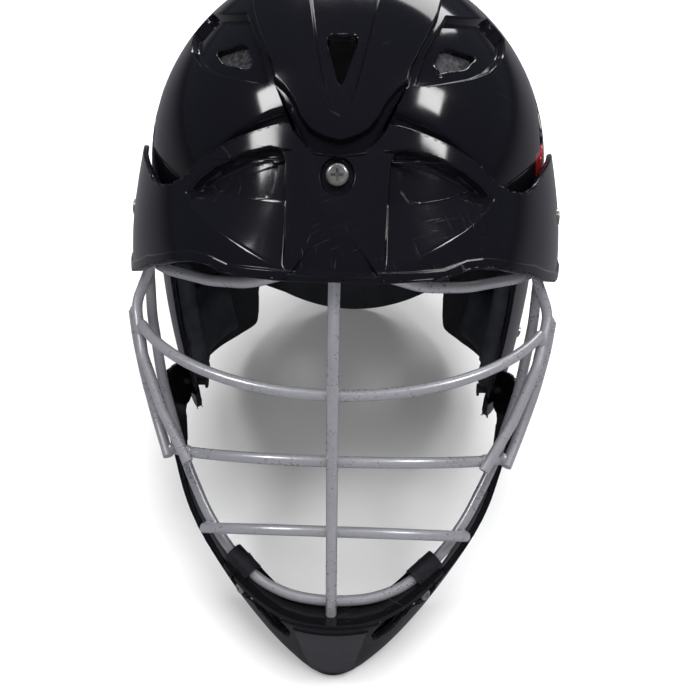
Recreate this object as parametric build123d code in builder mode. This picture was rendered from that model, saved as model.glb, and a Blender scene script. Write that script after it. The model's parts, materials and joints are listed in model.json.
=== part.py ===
from build123d import *
import os
from math import cos, pi, radians, sin, tan

# Lacrosse helmet with a bolted visor, a welded wire cage and a chin guard.
# The pieces are drawn level, as on a head, in millimetres: x to the wearer's left,
# y to the back, z up, with zero at the middle of the brim's lower edge.
# The level frame then leans back, so that the finished helmet stands on a table
# on its chin guard and the edge of its nape.

# Stance on the table
lean = 26.0
stand_back = 40.33
stand_rise = 137.9

# Shell
shell_half_width = 104.5
shell_half_length = 121.0
shell_middle = 3.0
crown_base = 20.0
crown_height = 104.0
shell_wall = 3.0
spine_rise = 4.5
pocket_depth = 4.0
lower_sections = [(-40, 102, 117), (-80, 97, 110), (-118, 89, 101)]

# Visor
visor_wall = 2.6
eye_pocket_depth = 3.6
lip_wall = 3.6
visor_sections = [(-45, 114.5, 161), (-20, 114.5, 154), (0, 113, 148), (25, 108.5, 134), (50, 102, 119.5),
                  (75, 90, 103.5)]
arm_end = -14.0

# Wire cage
wire_radius = 2.6
brow_bar_middle = (-139.7, -54)
nose_bar_middle = (-138.6, -87)
mouth_bar_middle = (-136.8, -125)
brow_bar_end = (97, -83, -45)
nose_bar_end = (85, -89.5, -109.5)
mouth_bar_end = (65, -112.9, -141)

# Chin guard
guard_wall = 3.0
guard_middle = -75.0
guard_sections = [(-70, 96, 70), (-90, 94, 73), (-112, 86, 76), (-135, 80, 77), (-150, 73.5, 77),
                  (-170, 62, 75), (-190, 50, 67), (-205, 39, 60), (-220, 24, 52)]
shelf_front = 110.0
shelf_width = 17.0
shelf_thickness = 2.4

# Fasteners
visor_screw_place = (0, -126.2, 39)
visor_screw_tilt = 15.0
recess_radius = 6.6
recess_depth = 2.3
boss_radius = 8.6
screw_head_radius = 4.7
screw_head_height = 2.5
screw_radius = 2.5
screw_clearance = 0.3
side_recess_depth = 1.3
side_head_height = 1.4
nut_radius = 5.0
nut_height = 3.0
visor_nut_depth = 14.2
side_nut_depth = 17.6
side_screw_place = (-36, 2)
clip_screw_place = (46, -165)
clip_screw_radius = 1.6
clip_nut_radius = 3.0
clip_nut_height = 2.0
clip_nut_depth = 6.2
clip_head_radius = 2.9
clip_head_height = 1.6
clip_head_recess = 1.2
clip_tab_radius = 4.6
clip_tab_thickness = 2.4
clip_half_length = 7.5
clip_radius = 5.3
slot_radius = 4.0
strap_rivet_place = (-49, -90)
stud_places = [(10, -77), (48, -70)]
rivet_radius = 1.8
rivet_head_radius = 3.6
rivet_head_height = 1.0
stud_flange_radius = 5.5
stud_flange_height = 1.2
stud_back_radius = 4.5
stud_radius = 3.25
stud_length = 3.6

# Fit dial and bands
dial_height = -62.0
dial_radius = 14.0
dial_flutes = 12
knob_front = 119.6
knob_thickness = 8.0
housing_screw_reach = 13.0
housing_screw_radius = 1.2
housing_head_front = 117.8
shaft_radius = 2.5
pinion_teeth = 9
tooth_module = 0.8
tooth_height = 1.65
tooth_side_angle = 79.7
rack_front = 97.4
rack_depth = 3.0
band_height = 7.0
band_run = 24.0
band_thickness = 2.0
band_bend = 48.0
band_sweep = 60.0
occiput_pad_depth = 8.0
occiput_pad_height = 26.0

# Pads
pad_gap = 0.6
pad_depth = 12.0

head = Plane(
    origin=(0, stand_back, stand_rise),
    x_dir=(1, 0, 0),
    z_dir=(0, sin(radians(lean)), cos(radians(lean))),
)
front_view = Plane(origin=head.origin, x_dir=head.x_dir, z_dir=-head.y_dir)
side_view = Plane(origin=head.origin, x_dir=head.y_dir, z_dir=head.x_dir)
reach = 260.0

os.makedirs("parts", exist_ok=True)


def at(x, y, z):
    """A place given in the level frame."""
    return head.from_local_coords(Vector(x, y, z))


def direction(x, y, z):
    """A direction given in the level frame."""
    return (at(x, y, z) - at(0, 0, 0)).normalized()


def save(piece, name):
    piece.part.label = name
    export_step(piece.part, f"parts/{name}.step")


# Forms
# Each form is a smooth body of ellipses, and a wall is what lies between two growths of it.
def shell_form(grow):
    """The head shape: an ellipsoid crown over sides that draw in to the nape."""
    with BuildPart() as form:
        for height, half_width, half_length in reversed(lower_sections):
            with BuildSketch(head.offset(height)):
                with Locations((0, shell_middle)):
                    Ellipse(half_width + grow, half_length + grow)
        for step in range(7):
            angle = radians(14.5 * step)
            with BuildSketch(head.offset(crown_base + (crown_height + grow) * sin(angle))):
                with Locations((0, shell_middle)):
                    Ellipse((shell_half_width + grow) * cos(angle), (shell_half_length + grow) * cos(angle))
        loft()
    return form.part


def visor_form(grow):
    """The visor's flared shape, widest at the brim."""
    with BuildPart() as form:
        for height, half_width, half_length in visor_sections:
            with BuildSketch(head.offset(height)):
                Ellipse(half_width + grow, half_length + grow)
        loft()
    return form.part


def guard_form(grow):
    """The chin guard's cup, which narrows to the chin."""
    with BuildPart() as form:
        for height, half_width, half_length in guard_sections:
            with BuildSketch(head.offset(height)):
                with Locations((0, guard_middle)):
                    Ellipse(half_width + grow, half_length + grow)
        loft()
    return form.part


def mirrored(points):
    """A half outline on the wearer's left, closed with its mirror image."""
    return list(points) + [(-x, z) for x, z in reversed(points) if x > 0]


def prism(view, points, start, end):
    """A straight prism over an outline seen in one view, from start to end along the view's line."""
    with BuildPart() as block:
        with BuildSketch(view.offset(start)):
            with BuildLine():
                Polyline(*points, close=True)
            make_face()
        extrude(amount=end - start)
    return block.part


def rod(centre, axis, radius, start, end):
    """A round bar about an axis, between two distances from its centre."""
    with BuildPart() as bar:
        with BuildSketch(Plane(centre, z_dir=axis).offset(start)):
            Circle(radius)
        extrude(amount=end - start)
    return bar.part


def housing_screw_spot(side):
    """The start of one housing screw's axis, beside the dial's own."""
    return at(side * housing_screw_reach, 0, dial_height)


def spot_on(form, start, toward):
    """Where a straight line first meets a form, and the outward normal there."""
    hits = form.find_intersection_points(Axis(start, toward))
    return min(hits, key=lambda hit: (hit[0] - start).length)


# Outlines seen from the front, as x and z, half of each
spine_half = [(0, 48.5), (6, 49.5), (13, 53), (17, 58), (20, 63.5), (24, 68), (28.5, 71), (30, 77),
              (34, 84), (41, 96), (45, 108), (45, 135), (0, 135)]
vent_half = [(0, 68.5), (7.5, 89.5), (0, 89.5)]
pocket_half = [(31, 71.5), (37, 71), (48, 72), (58, 73), (66, 75), (74, 80), (79, 90), (70, 97), (45, 99),
               (35, 84)]
side_vent_half = [(42, 78), (57, 79), (63, 83.5), (46, 89), (41, 80.5)]
visor_top_half = [(0, 46.5), (7, 47.3), (14, 50), (18, 53.5), (19.6, 58.3), (29, 56), (38, 52.8), (48, 48.3),
                  (60, 40.5), (69, 31.5), (76.5, 27), (83, 25), (89, 26), (96, 30), (104, 33), (125, 33)]
brim_half = [(0, 0), (30, -1), (45, -1.5), (55, 0.5), (62, 0), (72, -3), (87, -10), (106, -25), (125, -26)]
eye_pocket_half = [(67, 25.5), (62, 32), (54, 38.5), (41, 45), (29, 48.5), (24, 48), (21.8, 44),
                   (21.5, 36), (27, 31), (34, 28), (48, 27.5)]
guard_slot_half = [(38, -170), (33, -171.5), (21.5, -174.5), (19.5, -181), (21.5, -183.5), (32.5, -179)]

# Outline seen from above, as x and y
spine_rear = [(-45, 0), (-45, 20), (-41, 60), (-34, 84), (-20, 101), (0, 107), (20, 101), (34, 84),
              (41, 60), (45, 20), (45, 0)]

# Outlines seen from the side, as y and z
face_opening = [(-150, 12), (-95, 12), (-84, 4), (-64, -14), (-60, -25), (-58.5, -60), (-57, -94),
                (-50, -106), (-30, -108), (-22, -104), (10, -107), (60, -106), (86, -102), (86, -150),
                (-150, -150)]
arm_back = [(arm_end - 8, 45), (arm_end - 8, 27), (arm_end - 2, 18), (arm_end, 6), (arm_end - 2, -8),
            (arm_end - 10, -17), (arm_end - 26, -23), (arm_end - 26, -60), (60, -60), (60, 45)]
guard_band = [(-165, -171.2), (-146, -171.2), (-131, -166.5), (-121, -157), (-111, -146), (-101, -134),
              (-89, -118), (-78, -100), (-70, -86), (-58, -79), (-44, -79), (-40, -86), (-42, -96),
              (-56, -104), (-68, -118), (-78, -136), (-88, -158), (-95, -180), (-97, -200), (-97, -240),
              (-165, -240)]
strap_end = [(-64, -80), (-46, -80), (-44, -90), (-49, -99), (-62, -106)]
ear_hole = [(-18, -42), (-8, -52), (10, -54), (20, -44), (16, -30), (2, -24), (-12, -28)]
side_slot = [(-16, 60), (-22, 58), (-36, 44), (-42, 33), (-36, 31), (-27, 42)]
nape_arch = [(0, -101), (16, -98.5), (30, -95.5), (48, -85.5), (59, -77), (64, -77), (64, -150), (0, -150)]

mirrored_brim = [(-x, z) for x, z in reversed(brim_half[1:])] + brim_half
visor_screw_spot = at(*visor_screw_place)
visor_screw_axis = direction(0, -cos(radians(visor_screw_tilt)), sin(radians(visor_screw_tilt)))
shell_outer = shell_form(0)
shell_inner = shell_form(-shell_wall)
visor_outer = visor_form(0)
stud_lines = [spot_on(shell_outer, at(side * reach, *place), direction(-side, 0, 0))
              for side in (1, -1) for place in stud_places]
visor_inner = visor_form(-visor_wall)

# Shell
# One moulded piece: crown, raised spine, sunk vent pockets, jaw flaps and nape.
with BuildPart() as spine_block:
    add(prism(front_view, mirrored(spine_half), 0, reach))
    add(prism(head, spine_rear, 50, 140))
    add(shell_form(spine_rise), mode=Mode.INTERSECT)
    add(shell_form(-1), mode=Mode.SUBTRACT)

with BuildPart() as pocket_floor:
    add(prism(front_view, pocket_half, 20, reach))
    mirror(about=Plane.YZ)
    add(shell_form(-pocket_depth), mode=Mode.INTERSECT)
    add(shell_form(-pocket_depth - shell_wall), mode=Mode.SUBTRACT)

with BuildPart() as pocket_walls:
    add(prism(front_view, pocket_half, 20, reach))
    mirror(about=Plane.YZ)
    with BuildSketch(front_view.offset(10)):
        with BuildLine():
            Polyline(*pocket_half, close=True)
        make_face()
        offset(amount=-shell_wall)
        mirror(about=Plane.YZ)
    extrude(amount=reach, mode=Mode.SUBTRACT)
    add(shell_outer, mode=Mode.INTERSECT)
    add(shell_form(-pocket_depth - shell_wall), mode=Mode.SUBTRACT)

with BuildPart() as shell:
    add(shell_outer)
    add(shell_inner, mode=Mode.SUBTRACT)
    add(prism(front_view, pocket_half, 20, reach), mode=Mode.SUBTRACT)
    add(prism(front_view, [(-x, z) for x, z in pocket_half], 20, reach), mode=Mode.SUBTRACT)
    add(pocket_floor.part)
    add(pocket_walls.part)
    add(spine_block.part)
    add(prism(side_view, face_opening, -reach, reach), mode=Mode.SUBTRACT)
    add(prism(front_view, mirrored(nape_arch), -reach, -80), mode=Mode.SUBTRACT)
    add(prism(front_view, mirrored(vent_half), 30, reach), mode=Mode.SUBTRACT)
    for outline in (side_vent_half, [(-x, z) for x, z in side_vent_half]):
        add(prism(front_view, outline, 30, reach), mode=Mode.SUBTRACT)
    for outline in (ear_hole, side_slot):
        add(prism(side_view, outline, -reach, reach), mode=Mode.SUBTRACT)
    with BuildSketch(Plane(at(0, 0, dial_height), x_dir=head.x_dir, z_dir=head.y_dir)):
        Circle(shaft_radius + 0.6)
    extrude(amount=reach, mode=Mode.SUBTRACT)
    for side in (1, -1):
        add(rod(housing_screw_spot(side), head.y_dir, housing_screw_radius + 0.3, 90, 140),
            mode=Mode.SUBTRACT)
    add(rod(visor_screw_spot, visor_screw_axis, screw_radius + screw_clearance, -30, 5), mode=Mode.SUBTRACT)
    with BuildSketch(side_view):
        with Locations(side_screw_place):
            Circle(screw_radius + screw_clearance)
        with Locations(strap_rivet_place):
            Circle(rivet_radius + screw_clearance)
    extrude(amount=reach, both=True, mode=Mode.SUBTRACT)
    for spot, normal in stud_lines:
        add(rod(spot, normal, rivet_radius + screw_clearance, -8, 5), mode=Mode.SUBTRACT)
    split(bisect_by=Plane.XY, keep=Keep.TOP)
save(shell, "shell")

# Visor
# A separate moulded piece over the brow, notched round the spine's tip, with two sunk eye pockets.
mirrored_top = [(-x, z) for x, z in reversed(visor_top_half[1:])] + visor_top_half
visor_outline = mirrored_top + mirrored_brim[::-1]
with BuildPart() as eye_floors:
    add(prism(front_view, eye_pocket_half, 60, reach))
    mirror(about=Plane.YZ)
    add(visor_form(-eye_pocket_depth), mode=Mode.INTERSECT)
    add(visor_form(-eye_pocket_depth - visor_wall), mode=Mode.SUBTRACT)

with BuildPart() as eye_walls:
    add(prism(front_view, eye_pocket_half, 60, reach))
    mirror(about=Plane.YZ)
    with BuildSketch(front_view.offset(50)):
        with BuildLine():
            Polyline(*eye_pocket_half, close=True)
        make_face()
        offset(amount=-2)
        mirror(about=Plane.YZ)
    extrude(amount=reach, mode=Mode.SUBTRACT)
    add(visor_outer, mode=Mode.INTERSECT)
    add(visor_form(-eye_pocket_depth - visor_wall), mode=Mode.SUBTRACT)

with BuildPart() as visor_lip:
    add(prism(front_view, [(-125, 3), (125, 3), (125, -40), (-125, -40)], -reach, reach))
    add(visor_form(0.9), mode=Mode.INTERSECT)
    add(visor_form(-lip_wall), mode=Mode.SUBTRACT)
    with BuildSketch(front_view.offset(-reach)):
        with BuildLine():
            Polyline(*[(x, z + 3.2) for x, z in mirrored_brim], (125, 60), (-125, 60), close=True)
        make_face()
    extrude(amount=2 * reach, mode=Mode.SUBTRACT)

with BuildPart() as visor:
    add(visor_outer)
    add(visor_inner, mode=Mode.SUBTRACT)
    for outline in (eye_pocket_half, [(-x, z) for x, z in eye_pocket_half]):
        add(prism(front_view, outline, 60, reach), mode=Mode.SUBTRACT)
    add(eye_floors.part)
    add(eye_walls.part)
    add(visor_lip.part)
    add(prism(front_view, visor_outline, -60, reach), mode=Mode.INTERSECT)
    add(prism(side_view, arm_back, -reach, reach), mode=Mode.SUBTRACT)
    add(rod(visor_screw_spot, visor_screw_axis, boss_radius, -5, -0.8))
    add(rod(visor_screw_spot, visor_screw_axis, recess_radius, -recess_depth, 20), mode=Mode.SUBTRACT)
    add(rod(visor_screw_spot, visor_screw_axis, screw_radius + screw_clearance, -30, 5), mode=Mode.SUBTRACT)
    with BuildSketch(side_view):
        with Locations(side_screw_place):
            Circle(screw_radius + screw_clearance)
    extrude(amount=reach, both=True, mode=Mode.SUBTRACT)
    for side in (1, -1):
        spot = spot_on(visor_outer, at(side * reach, *side_screw_place), direction(-side, 0, 0))[0]
        add(rod(spot, direction(side, 0, 0), screw_head_radius + 0.6, -side_recess_depth, 5),
            mode=Mode.SUBTRACT)
save(visor, "visor")


# Wire cage
# Ten painted steel wires, welded where they cross. The two side wires and the chin wire run in
# straight lengths joined by bends, and the bars are arcs whose planes rise towards the face.
def bent_wire(points, largest_bend):
    """A round wire through corners, each bent as gently as its two runs allow."""
    corners = [at(*point) for point in points]
    bends = []
    for before, corner, after in zip(corners, corners[1:], corners[2:]):
        turn = (corner - before).get_angle(after - corner)
        shorter_run = min((corner - before).length, (after - corner).length)
        bends.append(min(largest_bend, 0.45 * shorter_run / tan(radians(turn / 2))))
    with BuildPart() as wire:
        with BuildLine() as path:
            FilletPolyline(*corners, radius=bends)
        with BuildSketch(Plane(path.line @ 0, z_dir=path.line % 0)):
            Circle(wire_radius)
        sweep()
    return wire


def arc_wire(end, middle):
    """A round wire on one arc, from the wearer's right through the middle to the left."""
    with BuildPart() as wire:
        with BuildLine() as path:
            ThreePointArc(at(-end[0], end[1], end[2]), at(0, middle[0], middle[1]), at(*end))
        with BuildSketch(Plane(path.line @ 0, z_dir=path.line % 0)):
            Circle(wire_radius)
        sweep()
    return wire


def both_sides(points):
    """Points from the wearer's right, over the middle, to the left."""
    return [(-x, y, z) for x, y, z in points] + [(x, y, z) for x, y, z in reversed(points) if x > 0]


top_half = [(93, -58, -22), (84, -76, -19), (58, -105, -14.5), (37, -122.5, -9.5), (20, -131.5, -1.5),
            (0, -135, 2)]
chin_half = [(98, -50, -6), (98.5, -56, -22), (96.5, -65, -46), (90.5, -76, -78), (79.5, -88.5, -113),
             (66, -104.3, -135), (54, -115, -149.5), (36, -127, -161), (20, -133, -165), (0, -135, -166)]
side_route = [(95, -60, -6), (96, -66, -22), (102.4, -71.5, -38), (96.2, -88.2, -59), (84.6, -102.9, -82),
              (70.6, -116.2, -102)]
outer_route = [(104.6, -69.3, -42.5), (103, -72, -57), (98.5, -78, -76), (92, -87.5, -92),
               (83.3, -102.5, -106.9)]
centre_route = [(0, -139.5, 4), (0, -144.5, -30), (0, -145, -62), (0, -143, -112), (0, -141, -150),
                (0, -140.2, -169.2)]

top_wire = bent_wire(both_sides(top_half), 60)
save(top_wire, "top_wire")
chin_wire = bent_wire(both_sides(chin_half), 90)
save(chin_wire, "chin_wire")
side_wires = {}
for side, name in ((1, "left"), (-1, "right")):
    side_wire = bent_wire([(side * x, y, z) for x, y, z in side_route], 16)
    side_wires[name] = side_wire.part
    save(side_wire, f"{name}_side_wire")
    outer_wire = bent_wire([(side * x, y, z) for x, y, z in outer_route], 60)
    save(outer_wire, f"{name}_outer_wire")
centre_bar = bent_wire(centre_route, 150)
save(centre_bar, "centre_bar")
brow_bar = arc_wire(brow_bar_end, brow_bar_middle)
save(brow_bar, "brow_bar")
nose_bar = arc_wire(nose_bar_end, nose_bar_middle)
save(nose_bar, "nose_bar")
mouth_bar = arc_wire(mouth_bar_end, mouth_bar_middle)
save(mouth_bar, "mouth_bar")

# Chin guard
# A moulded cup with a shelf that the chin wire lies on, and straps that run up behind the wire.
shelf_line = [(0, -169.3), (14, -169.1), (26, -167.6), (36, -164.4), (46, -159.5), (54, -154)]
guard_outer = guard_form(0)
guard_inner = guard_form(-guard_wall)


def clip_spot(side):
    """The middle of one chin clip, on the chin wire."""
    return at(side * 45, -121, -155.25)


def clip_line(side):
    """The chin wire's direction through one clip."""
    return direction(-side * 18, -12, -11.5)


def clip_screw_line(side):
    """The place on the guard's face, and the outward direction, of one clip screw."""
    x, z = clip_screw_place
    spot = spot_on(guard_outer, at(side * x, -reach, z), direction(0, 1, 0))[0]
    return spot, direction(side * 0.74, -0.67, 0)


# Chin clips
# Two plastic sleeves hold the chin wire, each with a tab inside the guard, and a screw and nut.
def clip(side):
    spot, normal = clip_screw_line(side)
    tab_top = guard_wall + 0.5
    with BuildPart() as sleeve:
        add(rod(clip_spot(side), clip_line(side), clip_radius, -clip_half_length, clip_half_length))
        add(rod(spot, normal, clip_tab_radius, -tab_top - clip_tab_thickness, -tab_top))
        tab_middle = spot - normal * (tab_top + clip_tab_thickness / 2)
        with BuildSketch(Plane(tab_middle, x_dir=clip_spot(side) - spot, z_dir=normal)):
            with Locations((4, 0)):
                Rectangle(8, 7)
        extrude(amount=clip_tab_thickness / 2, both=True)
        add(chin_wire.part, mode=Mode.SUBTRACT)
        add(rod(spot, normal, clip_screw_radius + 0.2, -12, 2), mode=Mode.SUBTRACT)
        add(rod(spot, normal, clip_nut_radius + 0.4, -12, -tab_top - clip_tab_thickness),
            mode=Mode.SUBTRACT)
    return sleeve


chin_clips = {"left": clip(1), "right": clip(-1)}
for name, piece in chin_clips.items():
    save(piece, f"{name}_chin_clip")

# The guard's shelf, cup and straps
with BuildPart() as guard_shelf:
    add(prism(front_view, [(-x, z) for x, z in reversed(shelf_line[1:])] + shelf_line
              + [(x, z - shelf_thickness) for x, z in reversed(shelf_line)]
              + [(-x, z - shelf_thickness) for x, z in shelf_line[1:]], shelf_front, reach))
    add(guard_form(-1), mode=Mode.INTERSECT)
    add(guard_form(-shelf_width), mode=Mode.SUBTRACT)

with BuildPart() as strap_ends:
    add(guard_outer)
    add(prism(side_view, strap_end, -reach, reach), mode=Mode.INTERSECT)

with BuildPart() as chin_guard:
    add(guard_outer)
    add(guard_inner, mode=Mode.SUBTRACT)
    add(prism(side_view, guard_band, -reach, reach), mode=Mode.INTERSECT)
    add(guard_shelf.part)
    for outline in (guard_slot_half, [(-x, z) for x, z in guard_slot_half]):
        add(prism(front_view, outline, 90, reach), mode=Mode.SUBTRACT)
    add(strap_ends.part)
    add(shell_form(0.3), mode=Mode.SUBTRACT)
    for piece in chin_clips.values():
        add(piece.part, mode=Mode.SUBTRACT)
    for side in (1, -1):
        add(rod(clip_spot(side), clip_line(side), wire_radius + 0.1, -12, 12), mode=Mode.SUBTRACT)
        add(rod(*clip_screw_line(side), slot_radius, -clip_head_recess, 8), mode=Mode.SUBTRACT)
        add(rod(*clip_screw_line(side), clip_tab_radius + 0.2, -12, -guard_wall - 0.4), mode=Mode.SUBTRACT)
        add(rod(*clip_screw_line(side), clip_screw_radius + 0.2, -9, 8), mode=Mode.SUBTRACT)
    with BuildSketch(side_view):
        with Locations(strap_rivet_place):
            Circle(rivet_radius + screw_clearance)
    extrude(amount=reach, both=True, mode=Mode.SUBTRACT)
    split(bisect_by=Plane.XY, keep=Keep.TOP)
save(chin_guard, "chin_guard")


# Screws, nuts and rivets
def pan_head(centre, axis, radius, height):
    """A domed head with a cross recess, standing on its centre."""
    with BuildPart() as head_form:
        with BuildSketch(Plane(centre, z_dir=axis)):
            Circle(radius)
        extrude(amount=height)
        fillet(head_form.edges().filter_by(GeomType.CIRCLE).sort_by(Axis(centre, axis))[-1],
               radius=0.6 * height)
        with BuildSketch(Plane(centre + axis * (0.45 * height), z_dir=axis)):
            Rectangle(1.1 * radius, 0.24 * radius)
            Rectangle(0.24 * radius, 1.1 * radius)
        extrude(amount=height, mode=Mode.SUBTRACT)
    return head_form.part


def screw_with_nut(name, lines, head_radius, head_height, shank_radius, seat, nut_start, nut_size,
                   nut_depth):
    """Screws along some lines and the nuts behind them, as two groups."""
    with BuildPart() as screws:
        for centre, axis in lines:
            add(pan_head(centre + axis * seat, axis, head_radius, head_height))
            add(rod(centre, axis, shank_radius, nut_start - nut_depth - 1, seat))
    save(screws, f"{name}_screw" if len(lines) == 1 else f"{name}_screws")
    with BuildPart() as nuts:
        for centre, axis in lines:
            with BuildSketch(Plane(centre, z_dir=axis).offset(nut_start - nut_depth)):
                RegularPolygon(nut_size, 6)
                Circle(shank_radius, mode=Mode.SUBTRACT)
            extrude(amount=nut_depth)
    save(nuts, f"{name}_nut" if len(lines) == 1 else f"{name}_nuts")


screw_with_nut("visor", [(visor_screw_spot, visor_screw_axis)], screw_head_radius, screw_head_height,
               screw_radius, -recess_depth, -visor_nut_depth, nut_radius, nut_height)
side_lines = []
for side in (1, -1):
    spot = spot_on(visor_outer, at(side * reach, *side_screw_place), direction(-side, 0, 0))[0]
    side_lines.append((spot, direction(side, 0, 0)))
screw_with_nut("side", side_lines, screw_head_radius, side_head_height, screw_radius,
               -side_recess_depth, -side_nut_depth, nut_radius, nut_height)
screw_with_nut("clip", [clip_screw_line(side) for side in (1, -1)], clip_head_radius, clip_head_height,
               clip_screw_radius, -clip_head_recess, -clip_nut_depth, clip_nut_radius, clip_nut_height)

with BuildPart() as strap_rivets:
    for side in (1, -1):
        outside = at(side * reach, *strap_rivet_place)
        outer_spot = spot_on(guard_outer, outside, direction(-side, 0, 0))[0]
        inner_spot = spot_on(shell_inner, outside, direction(-side, 0, 0))[0]
        grip = (outer_spot - inner_spot).length
        across = direction(side, 0, 0)
        add(rod(inner_spot, across, rivet_radius, -2.6, grip + 3.2))
        add(rod(inner_spot, across, rivet_head_radius, grip + 3.2 - rivet_head_height, grip + 3.2))
        add(rod(inner_spot, across, rivet_head_radius - 0.2, -2.6 - rivet_head_height, -2.6))
save(strap_rivets, "strap_rivets")

with BuildPart() as snap_studs:
    for spot, normal in stud_lines:
        add(rod(spot, normal, rivet_radius, -shell_wall - 1.0, 0.4))
        add(rod(spot, normal, stud_flange_radius, 0.3, stud_flange_height))
        add(rod(spot, normal, stud_radius, stud_flange_height, stud_flange_height + stud_length))
        add(rod(spot, normal, stud_back_radius, -shell_wall - 1.9, -shell_wall - 1.0))
save(snap_studs, "snap_studs")

# Cage clamps
# A plastic block on each side, between the shell and the visor's arm, grips the upper ends of the wires.
clamp_outline = [(-66, -19), (-66, -6), (-58, 6), (-46, 11), (-32, 10), (-26, 2), (-32, -8), (-44, -18),
                 (-54, -21)]
with BuildPart() as clamps:
    add(visor_form(-visor_wall - 2.2))
    add(shell_form(0.3), mode=Mode.SUBTRACT)
    add(prism(side_view, clamp_outline, -reach, reach), mode=Mode.INTERSECT)
    for wire in (top_wire, chin_wire):
        add(wire.part, mode=Mode.SUBTRACT)
    with BuildSketch(side_view):
        with Locations(side_screw_place):
            Circle(screw_radius + screw_clearance)
    extrude(amount=reach, both=True, mode=Mode.SUBTRACT)
for side, name in ((1, "left"), (-1, "right")):
    with BuildPart() as cage_clamp:
        add(clamps.part.solids().sort_by(Axis.X)[-1 if side > 0 else 0])
        add(side_wires[name], mode=Mode.SUBTRACT)
    save(cage_clamp, f"{name}_cage_clamp")


# Fit dial
# A knob at the nape turns a pinion between two racked bands, which draw in round the head.
def dial_plane(y):
    """The plane square to the dial's axis, seen from behind the helmet."""
    return Plane(at(0, y, dial_height), x_dir=head.x_dir, z_dir=-head.y_dir)


pinion_pitch_radius = pinion_teeth * tooth_module / 2
rack_back = rack_front + rack_depth
with BuildPart() as fit_dial:
    with BuildSketch(dial_plane(knob_front + knob_thickness)):
        Circle(dial_radius)
        with PolarLocations(dial_radius + 1.6, dial_flutes):
            Circle(2.6, mode=Mode.SUBTRACT)
    extrude(amount=knob_thickness)
    chamfer(fit_dial.faces().sort_by(Axis(at(0, 0, 0), head.y_dir))[-1].edges(), length=0.8)
    add(rod(at(0, 0, dial_height), head.y_dir, 5.0, knob_front - 0.6, knob_front))
    add(rod(at(0, 0, dial_height), head.y_dir, shaft_radius, rack_back + 0.2, knob_front))
    add(rod(at(0, 0, dial_height), head.y_dir, 1.5, rack_front, rack_back + 0.2))
save(fit_dial, "fit_dial")

with BuildPart() as fit_pinion:
    with BuildSketch(dial_plane(rack_back)):
        Circle(pinion_pitch_radius - 0.75)
        with PolarLocations(pinion_pitch_radius - 0.375, pinion_teeth, start_angle=90):
            Trapezoid(1.24, tooth_height, tooth_side_angle, rotation=-90)
        Circle(1.5, mode=Mode.SUBTRACT)
    extrude(amount=rack_depth)
save(fit_pinion, "fit_pinion")


def bent_strip(side, inner, outer, start, end):
    """A flat ring piece round one band's bend, between two radii and two angles."""
    middle = (rack_front + rack_back) / 2

    def spot(radius, angle):
        bend = radians(angle)
        return (side * (band_run + radius * sin(bend)), middle - band_bend + radius * cos(bend))

    half = (start + end) / 2
    with BuildSketch() as strip:
        with BuildLine():
            ThreePointArc(spot(inner, start), spot(inner, half), spot(inner, end))
            Line(spot(inner, end), spot(outer, end))
            ThreePointArc(spot(outer, end), spot(outer, half), spot(outer, start))
            Line(spot(outer, start), spot(inner, start))
        make_face()
    return strip.sketch


def fit_band(side):
    """One band: a rack over or under the pinion, then a strip that bends forward round the head."""
    pitch = pi * tooth_module
    shift = 0.0 if side > 0 else 0.5
    low_edge = dial_height + pinion_pitch_radius + 0.75
    if side < 0:
        low_edge = dial_height - pinion_pitch_radius - 0.75 - band_height
    strip = bent_strip(side, band_bend - band_thickness / 2, band_bend + band_thickness / 2, -1, band_sweep)
    with BuildPart() as band:
        with BuildSketch(dial_plane(rack_back)):
            with Locations((side * (band_run - 7) / 2,
                            side * (pinion_pitch_radius + 0.75 + band_height / 2))):
                Rectangle(band_run + 7, band_height)
            for count in range(8):
                with Locations((side * (count - 1.5 - shift) * pitch, side * (pinion_pitch_radius + 0.375))):
                    Trapezoid(1.24, tooth_height, tooth_side_angle, rotation=180 if side > 0 else 0)
        extrude(amount=rack_depth)
        with BuildSketch(head.offset(low_edge)):
            add(strip)
        extrude(amount=band_height)
    return band


for side, name in ((1, "left"), (-1, "right")):
    save(fit_band(side), f"{name}_fit_band")
    inner = band_bend - band_thickness / 2 - occiput_pad_depth
    strip = bent_strip(side, inner, inner + occiput_pad_depth - 0.1, 16, band_sweep)
    with BuildPart() as occiput_pad:
        with BuildSketch(head.offset(dial_height - occiput_pad_height / 2)):
            add(strip)
        extrude(amount=occiput_pad_height)
        fillet(occiput_pad.edges().filter_by(GeomType.LINE), radius=2.5)
    save(occiput_pad, f"{name}_occiput_pad")

# Dial housing
# A box inside the nape with a tunnel for the racks and a post that carries the shaft.
with BuildPart() as dial_housing:
    with BuildSketch(dial_plane(rack_back + 2.8)):
        RectangleRounded(36, 32, 5)
    extrude(amount=rack_depth + 5)
    add(rod(at(0, 0, dial_height), head.y_dir, 6.0, rack_back + 2.8, 130))
    for side in (1, -1):
        add(rod(housing_screw_spot(side), head.y_dir, 3.4, rack_back + 2.8, 130))
    add(shell_form(-shell_wall - 0.1), mode=Mode.INTERSECT)
    with BuildSketch(dial_plane(rack_back + 0.5)):
        Rectangle(60, 2 * (pinion_pitch_radius + 0.75 + band_height + 0.5))
    extrude(amount=rack_depth + 1, mode=Mode.SUBTRACT)
    add(rod(at(0, 0, dial_height), head.y_dir, shaft_radius + 0.1, rack_back, 130), mode=Mode.SUBTRACT)
    for side in (1, -1):
        add(rod(housing_screw_spot(side), head.y_dir, housing_screw_radius, rack_back + 2, 130),
            mode=Mode.SUBTRACT)
save(dial_housing, "dial_housing")

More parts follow.
